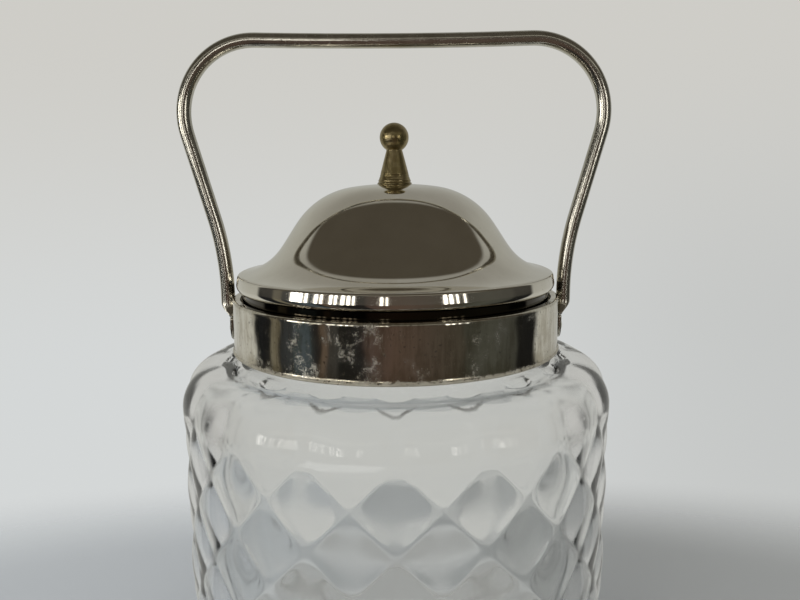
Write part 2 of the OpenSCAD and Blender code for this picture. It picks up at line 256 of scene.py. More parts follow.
# ---- Shader maths ----
class Value:
    """A number given by a node. Python's operators on it add Math nodes."""

    def __init__(self, paint, socket):
        self.paint, self.socket = paint, socket

    def maths(self, operation, *others):
        inputs = dict(enumerate((self, *others)))
        return self.paint.value("ShaderNodeMath", {"operation": operation}, inputs)

    def __add__(self, other):
        return self.maths("ADD", other)

    def __sub__(self, other):
        return self.maths("SUBTRACT", other)

    def __mul__(self, other):
        return self.maths("MULTIPLY", other)

    def __truediv__(self, other):
        return self.maths("DIVIDE", other)

    def __rsub__(self, other):
        return (self * -1) + other

    __radd__ = __add__
    __rmul__ = __mul__

    def step(self, low, high):
        """0 at low, 1 at high, easy between."""
        settings = {"interpolation_type": "SMOOTHSTEP", "clamp": True}
        inputs = {"Value": self, "From Min": low, "From Max": high}
        return self.paint.value("ShaderNodeMapRange", settings, inputs)

    def between(self, low, high, soft):
        """1 from low to high, falling to 0 over soft on each side."""
        return self.step(low - soft, low + soft) * (1 - self.step(high - soft, high + soft))


class Paint:
    """The node tree of one material or world."""

    def __init__(self, owner):
        owner.use_nodes = True
        self.tree = owner.node_tree
        self.tree.nodes.clear()

    def node(self, kind, settings=None, inputs=None):
        """Adds a node: its settings first, then its sockets' values or links."""
        node = self.tree.nodes.new(kind)
        for key, setting in (settings or {}).items():
            if key == "stops":
                ramp = node.color_ramp
                while len(ramp.elements) < len(setting):
                    ramp.elements.new(0.5)
                for stop, (place, colour) in zip(ramp.elements, setting):
                    stop.position, stop.color = place, (*colour, 1)
            else:
                setattr(node, key, setting)
        for key, given in (inputs or {}).items():
            if isinstance(given, Value):
                self.tree.links.new(given.socket, node.inputs[key])
            elif isinstance(given, bpy.types.NodeSocket):
                self.tree.links.new(given, node.inputs[key])
            else:
                node.inputs[key].default_value = given
        return node

    def value(self, kind, settings=None, inputs=None):
        """The number that a node gives."""
        return Value(self, self.node(kind, settings, inputs).outputs[0])

    def axes(self, vector):
        """The three numbers of a point or a direction."""
        split = self.node("ShaderNodeSeparateXYZ", {}, {"Vector": vector})
        return [Value(self, socket) for socket in split.outputs]

    def mix(self, share, first, second):
        """The first colour where share is 0, the second where it is 1."""
        node = self.node("ShaderNodeMix", {"data_type": "RGBA"}, {"Factor": share})
        for socket, colour in zip([s for s in node.inputs if s.type == "RGBA"], (first, second)):
            if isinstance(colour, bpy.types.NodeSocket):
                self.tree.links.new(colour, socket)
            else:
                socket.default_value = (*colour, 1)
        return next(s for s in node.outputs if s.type == "RGBA")

    def noise(self, place, scale, detail=3.0, roughness=0.5, stretch=(1, 1, 1)):
        """Soft noise about 0.5, stretched by the scale along each axis."""
        moved = self.node("ShaderNodeMapping", {}, {"Vector": place, "Scale": stretch}).outputs[0]
        inputs = {"Vector": moved, "Scale": scale, "Detail": detail, "Roughness": roughness}
        return self.value("ShaderNodeTexNoise", {}, inputs)

    def bump(self, height, strength, distance):
        """The normal over a height given in shares of the distance, in metres."""
        inputs = {"Height": height, "Strength": strength, "Distance": distance}
        return self.node("ShaderNodeBump", {}, inputs).outputs[0]

    def shader(self, **inputs):
        """A Principled shader; underscores in the names of its sockets stand for spaces."""
        named = {key.replace("_", " "): given for key, given in inputs.items()}
        return self.node("ShaderNodeBsdfPrincipled", {}, named).outputs[0]

    def layers(self, share, first, second):
        """The first shader where share is 0, the second where it is 1."""
        return self.node("ShaderNodeMixShader", {}, {0: share, 1: first, 2: second}).outputs[0]

    def glow(self, colour, strength):
        """Light that comes from the room."""
        inputs = {"Color": colour, "Strength": strength}
        return self.node("ShaderNodeBackground", {}, inputs).outputs[0]

    def end(self, shader, kind="ShaderNodeOutputMaterial"):
        self.node(kind, {}, {"Surface": shader})


def new_finish(name):
    """A material, its paint, and the point on the object that its patterns follow, in metres."""
    finish = bpy.data.materials.new(name)
    paint = Paint(finish)
    return finish, paint, paint.node("ShaderNodeTexCoord").outputs["Object"]


def glass_finish():
    """Clear pressed glass, a little wavy, with painted shade in a crescent along the outer edge of
    each thumb dent."""
    finish, paint, place = new_finish("clear_glass")
    x, y, z = paint.axes(place)
    radius = (x * x + y * y).maths("SQRT")
    round_dent = ((y.maths("ARCTAN2", x) + TURN / 4) * LOZENGES).maths("COSINE")
    uneven = paint.noise(place, 260.0, 4.0, 0.65)
    reach = (radius - NECK_R * MM) / ((BODY_R - SHOULDER_R - NECK_R) * MM) + (uneven - 0.5) * 0.15
    edge = DENT_EDGE - (1 - round_dent) * DENT_SAG
    taper = round_dent.step(-0.5, 0.9)
    within = (edge - reach).step(-0.03, 0.04)
    beyond = (reach - edge + taper * 0.09 + 0.02).step(0, 0.06)
    crescent = within * beyond * taper.step(0.02, 0.2)
    # Painted shade: a dark opaque layer laid over the glass in each crescent, where the dents show
    # dark
    painted_dent_shade = crescent * z.step(DENT_SHADE_LOW * MM, DENT_SHADE_HIGH * MM) * (uneven * 0.9 + 0.3)
    fine_waves = paint.noise(place, 170.0, 2.0, 0.5, (1, 1, 0.4))
    waves = paint.noise(place, 38.0, 2.0, 0.5) + fine_waves * 0.12
    clear = paint.shader(
        Base_Color=(0.985, 0.992, 0.985, 1),
        Roughness=0.09,
        IOR=1.5,
        Transmission_Weight=1.0,
        Normal=paint.bump(waves, 0.35, 0.0006),
    )
    dent_shade_layer = paint.shader(Base_Color=(0.10, 0.09, 0.07, 1), Roughness=0.7)
    paint.end(paint.layers(painted_dent_shade, clear, dent_shade_layer))
    return finish


def lid_finish():
    """Polished nickel plate on the spun lid, dulled in clouds, with faint rub marks, a few specks
    and painted shade in the crevice under the rim."""
    finish, paint, place = new_finish("lid_plate")
    clouds = paint.noise(place, 45.0, 4.0, 0.6)
    specks = paint.noise(place, 900.0, 2.0, 0.5).step(0.70, 0.76) * 0.3
    rubbed = paint.noise(place, 400.0, 3.0, 0.6, (1, 0.15, 1)).step(0.45, 0.75)
    bright = paint.mix(clouds.step(0.3, 0.7), (0.80, 0.765, 0.675), (0.88, 0.845, 0.755))
    colour = paint.mix(specks, bright, (0.45, 0.43, 0.36))
    x, y, z = paint.axes(place)
    # Painted shade: the plate is coloured near black in the crevice under the rim
    outer = (x * x + y * y).maths("SQRT").step(CREVICE_SHADE_IN * MM, CREVICE_SHADE_OUT * MM)
    painted_crevice_shade = outer * (1 - z.step(CREVICE_SHADE_LOW * MM, CREVICE_SHADE_HIGH * MM))
    colour = paint.mix(painted_crevice_shade, colour, (0.05, 0.042, 0.03))
    height = paint.noise(place, 60.0, 2.0, 0.4) + paint.noise(place, 2500.0, 2.0, 0.5) * 0.02
    paint.end(paint.shader(
        Base_Color=colour,
        Metallic=1.0,
        Roughness=clouds.step(0.2, 0.8) * 0.03 + 0.045 + rubbed * 0.03 + specks * 0.3,
        Normal=paint.bump(height, 0.25, 0.0002),
    ))
    return finish


def bar_finish():
    """Nickel rubbed dull by hands: softer than the lid's, with fine scratches and small dark
    pits."""
    finish, paint, place = new_finish("bar_plate")
    clouds = paint.noise(place, 120.0, 4.0, 0.6)
    pits = paint.noise(place, 1300.0, 2.0, 0.5).step(0.64, 0.72)
    scratches = paint.noise(place, 2600.0, 3.0, 0.6, (1, 1, 0.12))
    bright = paint.mix(clouds.step(0.3, 0.7), (0.54, 0.52, 0.45), (0.68, 0.655, 0.58))
    paint.end(paint.shader(
        Base_Color=paint.mix(pits * 0.7, bright, (0.30, 0.28, 0.22)),
        Metallic=1.0,
        Roughness=clouds * 0.08 + 0.12 + pits * 0.2,
        Normal=paint.bump(scratches, 0.05, 0.0001),
    ))
    return finish


def collar_finish():
    """Old nickel plate on the band: tarnished in clouds and upright streaks, pitted pale in
    patches, scratched along the band, dullest and crusted along its lower edge."""
    finish, paint, place = new_finish("collar_plate")
    up = paint.axes(place)[2]
    low = (COLLAR_TOP - COLLAR_H) * MM
    clouds = paint.noise(place, 90.0, 5.0, 0.65)
    streaks = paint.noise(place, 420.0, 4.0, 0.6, (1, 1, 0.12))
    mottle = paint.noise(place, 700.0, 4.0, 0.7)
    patches = paint.noise(place, 150.0, 3.0, 0.6, (1, 1, 0.7))
    edge = 1 - up.step(low + 0.001, low + 0.006)
    tarnish = (clouds * 0.5 + streaks * 0.5 + edge * 0.10).step(0.42, 0.62)
    pale = (patches + edge * 0.05).step(0.52, 0.72) * mottle.step(0.25, 0.7)
    specks = paint.noise(place, 1100.0, 2.0, 0.5).step(0.64, 0.72)
    bright = paint.mix(clouds.step(0.35, 0.65), (0.74, 0.705, 0.61), (0.86, 0.825, 0.735))
    colour = paint.mix(tarnish * 0.75, bright, (0.40, 0.355, 0.255))
    colour = paint.mix(specks * 0.7, colour, (0.18, 0.16, 0.115))
    colour = paint.mix(pale * 0.3, colour, (0.86, 0.84, 0.78))
    ragged = paint.noise(place, 500.0, 5.0, 0.75)
    below = 1 - (up - ragged * 0.0022).step(low - 0.0006, low + 0.0006)
    crust = below * ragged.step(0.3, 0.6)
    colour = paint.mix(crust * 0.85, colour, (0.40, 0.37, 0.29))
    scratches = paint.noise(place, 1500.0, 2.0, 0.6, (0.1, 0.1, 3.0))
    ripples = paint.noise(place, 260.0, 3.0, 0.5, (1, 1, 0.5))
    height = paint.noise(place, 60.0, 2.0, 0.4) + ripples * 0.16
    height = height + scratches * 0.03 + mottle * 0.03 + crust * 0.2
    rough = 0.05 + tarnish * 0.06 + pale * 0.30 + specks * 0.15
    rough = rough + scratches.step(0.6, 0.8) * 0.06 + crust * 0.5
    paint.end(paint.shader(
        Base_Color=colour,
        Metallic=1 - crust * 0.7,
        Roughness=rough,
        Normal=paint.bump(height, 0.3, 0.0002),
    ))
    return finish


def brass_finish():
    """Turned brass gone dull and olive, with fine tool lines round it."""
    finish, paint, place = new_finish("dulled_brass")
    clouds = paint.noise(place, 260.0, 4.0, 0.6)
    lines = paint.noise(place, 900.0, 2.0, 0.5, (0.05, 0.05, 4.0))
    paint.end(paint.shader(
        Base_Color=paint.mix(clouds.step(0.35, 0.7), (0.28, 0.225, 0.105), (0.44, 0.36, 0.20)),
        Metallic=1.0,
        Roughness=clouds * 0.12 + 0.20 + lines * 0.08,
        Normal=paint.bump(lines, 0.3, 0.0001),
    ))
    return finish


def plaster_finish():
    """Old plaster, off-white with grey specks."""
    finish, paint, place = new_finish("plaster")
    grain = paint.noise(place, 1400.0, 5.0, 0.7)
    paint.end(paint.shader(
        Base_Color=paint.mix(grain.step(0.35, 0.65), (0.42, 0.40, 0.35), (0.78, 0.76, 0.70)),
        Roughness=0.9,
        Normal=paint.bump(grain, 0.8, 0.0004),
    ))
    return finish


def steel_finish():
    """Plain steel of the screw and its washer."""
    finish, paint, place = new_finish("plain_steel")
    grain = paint.noise(place, 700.0, 3.0, 0.6)
    paint.end(paint.shader(
        Base_Color=(0.5, 0.49, 0.47, 1), Metallic=1.0, Roughness=grain * 0.2 + 0.25
    ))
    return finish


# ---- Glass ----
SHOULDER_X = BODY_R - SHOULDER_R
SHOULDER_Z = GLASS_H - NECK_H - SHOULDER_R
NECK_FOOT = SHOULDER_Z + SHOULDER_R
LATTICE_TOP = SHOULDER_Z - LATTICE_DROP
LOZENGE_ROWS = math.floor(2 * (LATTICE_TOP - HEEL_R - HEEL_CLEAR) / LOZENGE_H)
LATTICE_BOTTOM = LATTICE_TOP - LOZENGE_ROWS * LOZENGE_H / 2
# Columns of points across one lozenge, and rows of them over its height
SAMPLES = 24
INNER_TURN = SHOULDER_Z - 6
INNER_HEEL_R = 8


def groove_depth(angle, height):
    """Share of the groove's depth: 1 in a groove, 0 in the middle of a cushion. Two families of
    grooves run as helices, sin(pi (t + h)) = 0 and sin(pi (t - h)) = 0, with t in lozenges round
    and h in lozenges down from the lattice's top."""
    t = (angle + TURN / 4) * LOZENGES / TURN
    h = (LATTICE_TOP - np.clip(height, LATTICE_BOTTOM, LATTICE_TOP)) / LOZENGE_H
    across = np.sin(math.pi * (t + h)) * np.sin(math.pi * (t - h))
    cushion = (across**2 + ROUNDING**2) ** (SOFTNESS / 2)
    return (1 - cushion) / (1 - ROUNDING**SOFTNESS)


def glass_outline():
    """The outside of the glass from the middle of its base to the top of its lip, before the
    relief, and the number of the point in it where the lattice ends."""
    heel_x = BODY_R - HEEL_R
    foot_x = heel_x - FOOT_W
    row = LOZENGE_H / SAMPLES
    rows = int(round((LATTICE_TOP - LATTICE_BOTTOM) / row))
    neck_top = NECK_FOOT + 5.4
    parts = [
        [[0, RECESS_H]],
        run((0, RECESS_H), (foot_x - 3, RECESS_H), 8),
        curve((foot_x - 3, RECESS_H), (foot_x - 1, RECESS_H), (foot_x - 1, 0), (foot_x + 1, 0), 6),
        run((foot_x + 1, 0), (heel_x, 0), 4),
        arc(heel_x, HEEL_R, HEEL_R, -90, 0, 14)[1:],
        run((BODY_R, HEEL_R), (BODY_R, LATTICE_BOTTOM), 7),
        run((BODY_R, LATTICE_BOTTOM), (BODY_R, LATTICE_TOP), rows),
    ]
    lattice_end = sum(len(part) for part in parts) - 1
    parts += [
        arc(SHOULDER_X, SHOULDER_Z, SHOULDER_R, 0, 90, 30)[1:],
        curve(
            (SHOULDER_X, NECK_FOOT), (SHOULDER_X - 3.6, NECK_FOOT),
            (NECK_R, NECK_FOOT + 1.6), (NECK_R, neck_top), 20,
        ),
        run((NECK_R, neck_top), (NECK_R, GLASS_H - 1), 3),
        arc(NECK_R - 1, GLASS_H - 1, 1, 0, 90, 5)[1:],
    ]
    return np.vstack(parts), lattice_end


def cavity_outline():
    """The inside of the glass, from the lip down to the middle of the base. Its shoulder slopes,
    so that it mirrors no dark band."""
    neck_in, wall_in = NECK_R - NECK_WALL, BODY_R - GLASS_WALL
    lip, heel = 0.6, INNER_HEEL_R
    return np.vstack([
        arc(neck_in + lip, GLASS_H - lip, lip, 90, 180, 4),
        run((neck_in, GLASS_H - lip), (neck_in, NECK_FOOT + 1.5), 6),
        curve(
            (neck_in, NECK_FOOT + 1.5), (neck_in, NECK_FOOT - 4.0),
            (wall_in, SHOULDER_Z + 5.0), (wall_in, INNER_TURN), 30,
        ),
        run((wall_in, INNER_TURN), (wall_in, BASE_T + heel), 40),
        arc(wall_in - heel, BASE_T + heel, heel, 0, -90, 12)[1:],
        run((wall_in - heel, BASE_T), (0, BASE_T), 12),
    ])


def pressed_glass(finish):
    """The glass outline goes round Z; each outside point then sinks along its normal by the
    groove's depth there, which fades out over the shoulder and the heel, by the thumb dents at
    the foot of the neck and by a faint ripple. The cavity is smooth but for slow waves."""
    outline, lattice_end = glass_outline()
    slope = np.gradient(outline, axis=0)
    normal = np.stack([slope[:, 1], -slope[:, 0]], -1) / np.hypot(slope[:, 0], slope[:, 1])[:, None]
    around = LOZENGES * SAMPLES
    angle = np.arange(around) * TURN / around - TURN / 4
    a, r, z = angle[None], outline[1:, :1], outline[1:, 1:]
    lean = np.degrees(np.arctan2(normal[1:, 1:], normal[1:, :1]))
    fade_z = 2 + HEEL_R / 2
    low = smooth((z - fade_z) / (LATTICE_BOTTOM - fade_z)) * (lean > -89)
    high = smooth((84 - lean) / 84)
    share = np.where(z > SHOULDER_Z, high, low) * (r > NECK_R + 2)
    # A thumb dent is a crescent: deep along its outer edge, rising slowly towards the neck
    reach = (r - NECK_R) / (SHOULDER_X - NECK_R)
    round_dent = np.cos((a + TURN / 4) * LOZENGES)
    edge = DENT_EDGE - DENT_SAG * (1 - round_dent)
    crescent = smooth((round_dent + 0.25) / 0.5) * smooth((edge - reach) / 0.10)
    crescent = crescent * smooth((reach - 0.15) / 0.6)
    thumb = THUMB_DENT * crescent * (z > SHOULDER_Z + 0.5 * SHOULDER_R)
    ripple = 0.035 + 0.02 * np.sin(5 * a + 0.11 * z) + 0.015 * np.sin(11 * a - 0.07 * z + 1.0)
    depth = GROOVE * share * groove_depth(a, z) + thumb + ripple * share
    r, z = r - depth * normal[1:, :1], z - depth * normal[1:, 1:]
    outside = placed(r, a, z)

    rows = len(outline) - 1
    quads = ring_quads(rows, around)
    lower, column = quads[:, 0] // around, quads[:, 0] % around
    # Rows counted down from the lattice's top; a quad is split along the nearer of the two grooves
    down = lattice_end - 1 - lower
    to_rising, to_falling = column + down, column + 1 - down
    rising = (
        np.minimum(to_rising % SAMPLES, -to_rising % SAMPLES)
        <= np.minimum(to_falling % SAMPLES, -to_falling % SAMPLES)
    )
    split_up = np.stack([quads[:, [0, 1, 2]], quads[:, [0, 2, 3]]], 1)
    split_down = np.stack([quads[:, [0, 1, 3]], quads[:, [1, 2, 3]]], 1)
    triangles = np.where(rising[:, None, None], split_up, split_down).reshape(-1, 3)

    inner = cavity_outline()
    half = around // 2
    a, r, z = angle[::2][None], inner[:-1, :1], inner[:-1, 1:]
    wave = 0.05 * np.sin(3 * a + 0.05 * z) + 0.04 * np.sin(7 * a - 0.08 * z + 2)
    cavity = placed(r + wave * smooth((r - 60) / 8), a, z)

    # The lip joins two columns outside to one inside
    first, top = len(outside), (rows - 1) * around
    here, beside = np.arange(half), (np.arange(half) + 1) % half
    lip = [
        np.stack([top + 2 * here, top + 2 * here + 1, first + here], -1),
        np.stack([top + 2 * here + 1, first + beside, first + here], -1),
        np.stack([top + 2 * here + 1, top + 2 * beside, first + beside], -1),
    ]
    points = np.vstack([outside, cavity, [[0, 0, RECESS_H]], [[0, 0, BASE_T]]])
    sole = fan(0, around, len(points) - 2, False)
    well = fan(first + (len(inner) - 2) * half, half, len(points) - 1, True)
    faces = [np.vstack([triangles, *lip, sole, well]), ring_quads(len(inner) - 1, half) + first]
    make_piece("pressed_glass", points, faces, "jar", "glass_jar", finish)


# ---- Collar and plaster ----
def spun_collar(finish):
    """A band, bead, rolled top edge, inner wall and ledge in one closed outline, turned round Z.
    Shallow dents, a sum of sines of the angle and the height, go inwards from the band."""
    low = COLLAR_TOP - COLLAR_H
    wall_in = COLLAR_R - SHEET
    land_r = COLLAR_R - LAND
    ledge = COLLAR_TOP - LEDGE_DROP
    roll, bend = 1, 0.4
    outline = np.vstack([
        [[wall_in, low + 0.1]],
        arc(COLLAR_R, low + BEAD_R, BEAD_R, -150, 70, 14),
        curve(
            (COLLAR_R + 0.17, low + 0.97), (COLLAR_R + 0.02, low + 1.3),
            (COLLAR_R, low + 1.5), (COLLAR_R, low + 2.2), 6,
        ),
        run((COLLAR_R, low + 2.2), (COLLAR_R, COLLAR_TOP - roll), 24),
        arc(COLLAR_R - roll, COLLAR_TOP - roll, roll, 0, 90, 10)[1:],
        run((COLLAR_R - roll, COLLAR_TOP), (land_r + bend, COLLAR_TOP), 4),
        arc(land_r + bend, COLLAR_TOP - bend, bend, 90, 180, 5)[1:],
        run((land_r, COLLAR_TOP - bend), (land_r, ledge + 0.5), 6),
        curve((land_r, ledge + 0.5), (land_r, ledge), (land_r, ledge), (land_r - 0.5, ledge), 4),
        run((land_r - 0.5, ledge), (land_r - LEDGE_W, ledge), 3),
        [[land_r - LEDGE_W, ledge - SHEET], [land_r + SHEET, ledge - SHEET]],
        [[land_r + SHEET, COLLAR_TOP - SHEET], [wall_in, COLLAR_TOP - SHEET]],
    ])
    points, faces = turned(outline, 288, closed=True)
    angle, radius = polar(points)
    z = points[:, 2]
    dent = 0.035 * np.sin(9 * angle + 0.3 * z) + 0.025 * np.sin(17 * angle - 0.4 * z + 2)
    dent = (dent - 0.06) * (radius > COLLAR_R - 0.4) * smooth((COLLAR_TOP - 0.5 - z) / 3)
    points[:, 0] += dent * np.cos(angle)
    points[:, 1] += dent * np.sin(angle)
    make_piece("spun_collar", points, faces, "jar", "collar", finish)


def plaster_bed(finish):
    """The plaster between band and neck, turned round Z; its lower edge is uneven, moved up and
    down by a sum of four sines of the angle."""
    band_in = COLLAR_R - SHEET - 0.1
    neck_out = NECK_R + 0.05
    low = COLLAR_TOP - COLLAR_H + 0.5
    high = COLLAR_TOP - LEDGE_DROP - SHEET - 0.05
    outline = np.vstack([
        run((neck_out, high), (neck_out, NECK_FOOT + 5.6), 8),
        curve(
            (neck_out, NECK_FOOT + 5.6), (NECK_R + 0.6, low + 0.4),
            (band_in - 1.2, low + 0.2), (band_in, low + 0.3), 10,
        ),
        run((band_in, low + 0.3), (band_in, high), 8),
    ])
    points, faces = turned(outline, 360, closed=True)
    angle, radius = polar(points)
    crust = sum(np.sin(waves * angle + at) for waves, at in ((23, 0), (41, 1), (67, 2.2), (97, 4)))
    edge = (points[:, 2] < NECK_FOOT + 5.0) * smooth((radius - NECK_R - 0.3) / 0.8)
    points[:, 2] += 0.07 * crust * edge
    make_piece("plaster_bed", points, faces, "jar", "cement_ring", finish)


def rivet(name, side, finish):
    """A turned rivet: shank, flat tail and a head that is a cap of a sphere, laid along X."""
    under_head = 0.5 + EYE_T + 0.05
    tail, tail_r, tail_t = -SHEET - 0.05, HEAD_R - 0.4, 0.8
    dome_r = (HEAD_R**2 + HEAD_H**2) / (2 * HEAD_H)
    half = math.degrees(math.asin(HEAD_R / dome_r))
    outline = np.vstack([
        [[0, tail - tail_t], [tail_r - 0.2, tail - tail_t], [tail_r, tail - tail_t + 0.2]],
        [[tail_r, tail], [RIVET_R, tail], [RIVET_R, under_head]],
        [[HEAD_R - 0.15, under_head], [HEAD_R, under_head + 0.12]],
        arc(0, under_head + HEAD_H - dome_r, dome_r, 90 - half + 3, 90, 12),
    ])
    outline[-1, 0] = 0
    points, faces = turned(outline, 48)
    along = COLLAR_R + points[:, 2]
    points = np.stack([side * along, side * points[:, 0], PIVOT_Z + points[:, 1]], -1)
    node = "rivet_right" if side > 0 else "rivet_left"
    make_piece(name, points, faces, "jar", node, finish)


# ---- Lid ----
CREASE_Z = COLLAR_TOP + CREASE_H
DOME_TOP = CREASE_Z + DOME_H


def lid_arcs():
    """The centres of the dome's and the flare's arcs and the flare's radius, where the flare
    meets the dome's side without a kink and ends at the crease."""
    sin_crown, cos_crown = math.sin(CROWN_ANGLE), math.cos(CROWN_ANGLE)
    sin_steep, cos_steep = math.sin(STEEP_ANGLE), math.cos(STEEP_ANGLE)
    crown_x = CROWN_R * sin_crown
    crown_z = DOME_TOP - CROWN_R * (1 - cos_crown)
    side_x = crown_x + DOME_R * (sin_steep - sin_crown)
    side_z = crown_z - DOME_R * (cos_crown - cos_steep)
    turn_s = sin_steep - math.sin(FLARE_ANGLE)
    turn_c = math.cos(FLARE_ANGLE) - cos_steep
    flare_r = (CREASE_R - side_x) * math.tan(STEEP_ANGLE) - (side_z - CREASE_Z)
    flare_r /= turn_s * math.tan(STEEP_ANGLE) - turn_c
    dome = (crown_x - DOME_R * sin_crown, crown_z - DOME_R * cos_crown)
    flare = (
        CREASE_R - flare_r * turn_s + flare_r * sin_steep,
        CREASE_Z + flare_r * turn_c + flare_r * cos_steep,
    )
    return dome, flare, flare_r


def spun_lid(finish):
    """The lid's outside runs from the screw hole over crown, dome, flare and crease into the
    rolled rim; the inside follows it one sheet thickness in. The outline goes round Z, and slow
    waves as from spinning by hand are added."""
    dome, flare, flare_r = lid_arcs()
    crown_end, steep, flare_end = (
        math.degrees(a) for a in (CROWN_ANGLE, STEEP_ANGLE, FLARE_ANGLE)
    )

    def skin(inset):
        return np.vstack([
            arc(0, DOME_TOP - CROWN_R, CROWN_R - inset, 90, 90 - crown_end, 10),
            arc(*dome, DOME_R - inset, 90 - crown_end, 90 - steep, 40)[1:],
            arc(*flare, flare_r + inset, 270 - steep, 270 - flare_end, 40),
        ])

    def cut(line, outer):
        return line[(line[:, 0] > SCREW_HOLE_R) & (line[:, 0] < outer)]

    edge, wall_in = 0.9, CREASE_R - SHEET
    outside = cut(eased(evenly(skin(0), 0.25), 9), CREASE_R - edge)
    inside = cut(eased(evenly(skin(SHEET), 0.5), 4), wall_in - 0.4)[::-1]
    roll_x, lip_z = CREASE_R + 0.4 - ROLL_R, COLLAR_TOP + LIP_GAP
    roll_z = lip_z + ROLL_R
    flange_out = FLANGE_R + 0.05
    outline = np.vstack([
        [[SCREW_HOLE_R, outside[0, 1]]],
        outside,
        arc(CREASE_R - edge, CREASE_Z - edge + 0.02, edge, 86, 12, 12),
        arc(roll_x, roll_z, ROLL_R, 8, -78, 28),
        [[flange_out, lip_z + 0.15], [flange_out, lip_z + SHEET]],
        arc(roll_x, roll_z, ROLL_R - SHEET, -78, 8, 12),
        [[wall_in, CREASE_Z - SHEET - 0.4]],
        inside,
        [[SCREW_HOLE_R, inside[-1, 1]]],
    ])
    points, faces = turned(outline, 360, closed=True)
    angle, radius = polar(points)
    wave = 0.020 * np.sin(3 * angle + 0.10 * radius)
    wave += 0.012 * np.sin(7 * angle - 0.14 * radius + 1.3)
    wave += 0.008 * np.sin(13 * angle + 0.2 * radius + 0.4)
    points[:, 2] += (wave - 0.04) * smooth((radius - 8) / 8) * smooth((55 - radius) / 6)
    make_piece("spun_lid", points, faces, "lid", "lid_shell", finish)


def lid_ring(finish):
    """The ring under the rim that drops into the collar, an L in section, turned round Z."""
    low = COLLAR_TOP - LEDGE_DROP + 0.05
    high = COLLAR_TOP + LIP_GAP + ROLL_R + 0.6
    inner, toe, toe_t = FLANGE_R - SHEET, FLANGE_R - SHEET - 0.8, 0.8
    outline = np.array([
        [FLANGE_R - 0.2, low], [FLANGE_R, low + 0.2], [FLANGE_R, high], [inner, high],
        [inner, low + toe_t], [toe, low + toe_t], [toe, low], [FLANGE_R - 0.2, low],
    ])
    points, faces = turned(evenly(outline, 0.5)[:-1], 240, closed=True)
    make_piece("lid_ring", points, faces, "lid", "lid_flange", finish)


def turned_finial(finish):
    """Lip, bead, cone and ball, turned round Z, with two fine grooves cut above the lip. It is
    hollow for its screw."""
    seat_r = LIP_R - 1
    foot = DOME_TOP - CROWN_R + math.sqrt(CROWN_R**2 - seat_r**2)
    ball_z = foot + STEM_H + math.sqrt(BALL_R**2 - STEM_TOP_R**2)
    neck_angle = math.degrees(math.acos(STEM_TOP_R / BALL_R))
    cone = run((STEM_FOOT_R, foot + 1.6), (STEM_TOP_R + 0.05, foot + STEM_H - 0.1), 90)
    up = cone[:, 1] - foot
    cone[:, 0] -= 0.12 * (np.exp(-(((up - 2.6) / 0.16) ** 2)) + np.exp(-(((up - 3.3) / 0.12) ** 2)))
    outline = np.vstack([
        [[0, foot + BORE_H], [SCREW_HOLE_R, foot + BORE_H], [SCREW_HOLE_R, foot + 0.4]],
        [[seat_r, foot + 0.4], [seat_r, foot], [LIP_R - 0.1, foot], [LIP_R, foot + 0.12]],
        curve(
            (LIP_R, foot + 0.12), (LIP_R, foot + 0.5),
            (STEM_FOOT_R + 0.1, foot + 0.5), (STEM_FOOT_R + 0.15, foot + 0.8), 8,
        ),
        curve(
            (STEM_FOOT_R + 0.15, foot + 0.8), (STEM_FOOT_R + 0.35, foot + 1.1),
            (STEM_FOOT_R + 0.25, foot + 1.4), (STEM_FOOT_R, foot + 1.6), 8,
        ),
        cone,
        arc(0, ball_z, BALL_R, -neck_angle + 1.5, 90, 60),
    ])
    outline[-1, 0] = 0
    points, faces = turned(outline, 144)
    make_piece("turned_finial", points, faces, "lid", "finial", finish)


# ---- Bail ----
def bail_line():
    """Right half of the bar's centre line, from the middle of the top to the flattened end. The
    bar's direction turns at a steady rate along each bend, eased a little where the rate changes;
    the place is the running sum of the direction."""
    corner_x = BAIL_W - CORNER_R
    corner_z = COLLAR_TOP + BAIL_H - CORNER_R
    foot_x = EYE_X + BAR_R
    foot_z = COLLAR_TOP + LEAN_START
    dx, dz = foot_x + FOOT_BEND_R - corner_x, corner_z - foot_z
    gap = math.hypot(dx, dz)
    lean = math.atan2(dz, dx) - math.acos((CORNER_R + FOOT_BEND_R) / gap)
    leg = math.sqrt(gap**2 - (CORNER_R + FOOT_BEND_R) ** 2)
    dip_r = corner_x**2 / (2 * TOP_DIP) - 2 * CORNER_R
    dip = math.asin(corner_x / (dip_r + CORNER_R))
    start_z = corner_z + (dip_r + CORNER_R) * math.cos(dip) - dip_r
    # Each length of bar with the angle that it turns through, downwards positive
    steps = [
        (dip_r * dip, -dip),
        (CORNER_R * (math.pi / 2 + dip + lean), math.pi / 2 + dip + lean),
        (leg, 0),
        (FOOT_BEND_R * lean, -lean),
        (foot_z - (COLLAR_TOP - FLAT_START - FLAT_L), 0),
    ]
    fine, kept = 0.05, 16
    rates = [np.full(int(round(length / fine)), turn / length) for length, turn in steps]
    ease = np.exp(-0.5 * (np.arange(-60, 61) / 20.0) ** 2)
    rate = np.convolve(np.concatenate(rates), ease / ease.sum(), "same")
    heading = -np.cumsum(rate) * fine
    x = np.cumsum(np.cos(heading)) * fine
    z = start_z + np.cumsum(np.sin(heading)) * fine
    line, heading = np.stack([x, z], -1)[::kept], heading[::kept]
    # The running sum drifts by a hair, so the foot is put back where it is riveted
    share = smooth((start_z - line[:, 1]) / (start_z - foot_z))
    line[:, 0] += (foot_x - line[-1, 0]) * share
    return line, heading


def section(half_x, half_y, power, around):
    """A rounded section: |x / half_x|^power + |y / half_y|^power = 1."""
    t = np.arange(around) * TURN / around
    c, s = np.cos(t), np.sin(t)
    size = (np.abs(c) ** power + np.abs(s) ** power) ** (-1 / power)
    return half_x * c * size, half_y * s * size


